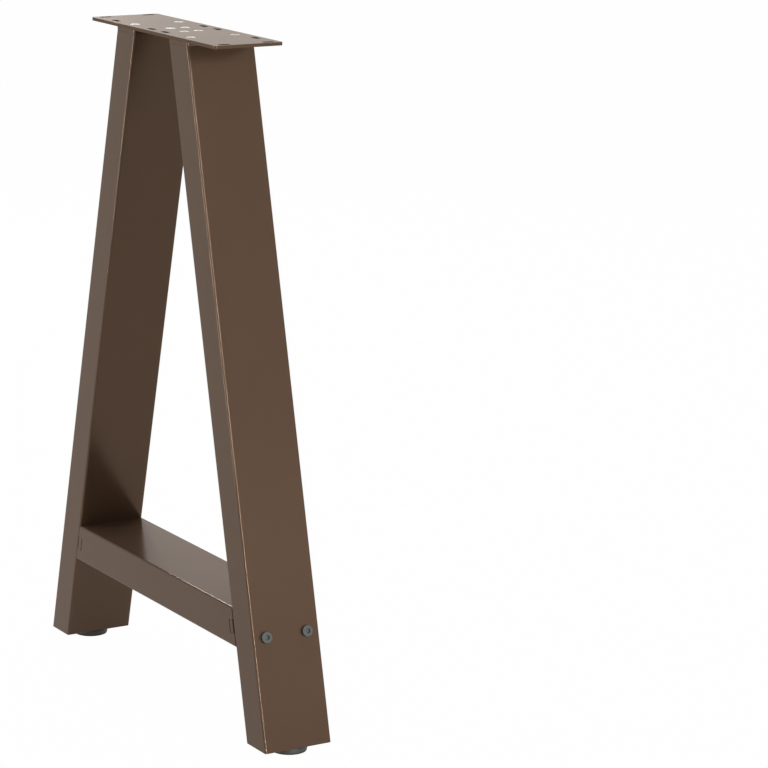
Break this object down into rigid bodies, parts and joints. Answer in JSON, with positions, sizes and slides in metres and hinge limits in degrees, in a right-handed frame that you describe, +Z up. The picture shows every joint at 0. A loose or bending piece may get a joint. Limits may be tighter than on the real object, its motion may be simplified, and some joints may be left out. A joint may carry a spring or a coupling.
{
  "type": "table leg",
  "caption": "A-shaped steel table leg: leaning rectangular tubes, a bolted cross rail, a slotted top plate and levelling feet.",
  "frame": {"origin": "on the floor, under the middle of the frame's overall box and of the top plate", "axes": "+Z up through the top plate, X along the top plate from one tube to the other, Y from the front narrow faces (-Y) to the back ones"},
  "size_m": [0.5, 0.079, 0.72],
  "materials": {
    "frame_paint": "brown powder coat, fine texture, satin",
    "bright_steel": "bright zinc plated",
    "zinc_steel": "zinc plated",
    "black_steel": "dark grey-blue coated bolts, satin",
    "foot_plastic": "moulded, fine matt texture",
    "pad_rubber": "matt"
  },
  "bodies": {
    "frame": {"top_plate": "frame_paint", "rail_tube": "frame_paint", "left_leg_tube": "frame_paint", "left_head_plate": "frame_paint", "left_bottom_plate": "frame_paint", "left_rail_end_plate": "frame_paint", "left_foot_nut": "zinc_steel", "left_front_bolt": "black_steel", "left_back_bolt": "black_steel", "left_inner_front_screw": "bright_steel", "left_inner_back_screw": "bright_steel", "left_outer_front_screw": "bright_steel", "left_outer_back_screw": "bright_steel", "right_leg_tube": "frame_paint", "right_head_plate": "frame_paint", "right_bottom_plate": "frame_paint", "right_rail_end_plate": "frame_paint", "right_foot_nut": "zinc_steel", "right_front_bolt": "black_steel", "right_back_bolt": "black_steel", "right_inner_front_screw": "bright_steel", "right_inner_back_screw": "bright_steel", "right_outer_front_screw": "bright_steel", "right_outer_back_screw": "bright_steel"},
    "left_foot": {"left_foot_stud": "zinc_steel", "left_foot_disc": "foot_plastic", "left_foot_pad": "pad_rubber"},
    "right_foot": {"right_foot_stud": "zinc_steel", "right_foot_disc": "foot_plastic", "right_foot_pad": "pad_rubber"}
  },
  "joints": [
    {"name": "left_foot_level", "type": "slide", "parent": "frame", "child": "left_foot", "axis": [0, 0, -1], "range_m": [0, 0.012]},
    {"name": "right_foot_level", "type": "slide", "parent": "frame", "child": "right_foot", "axis": [0, 0, -1], "range_m": [0, 0.012]}
  ]
}
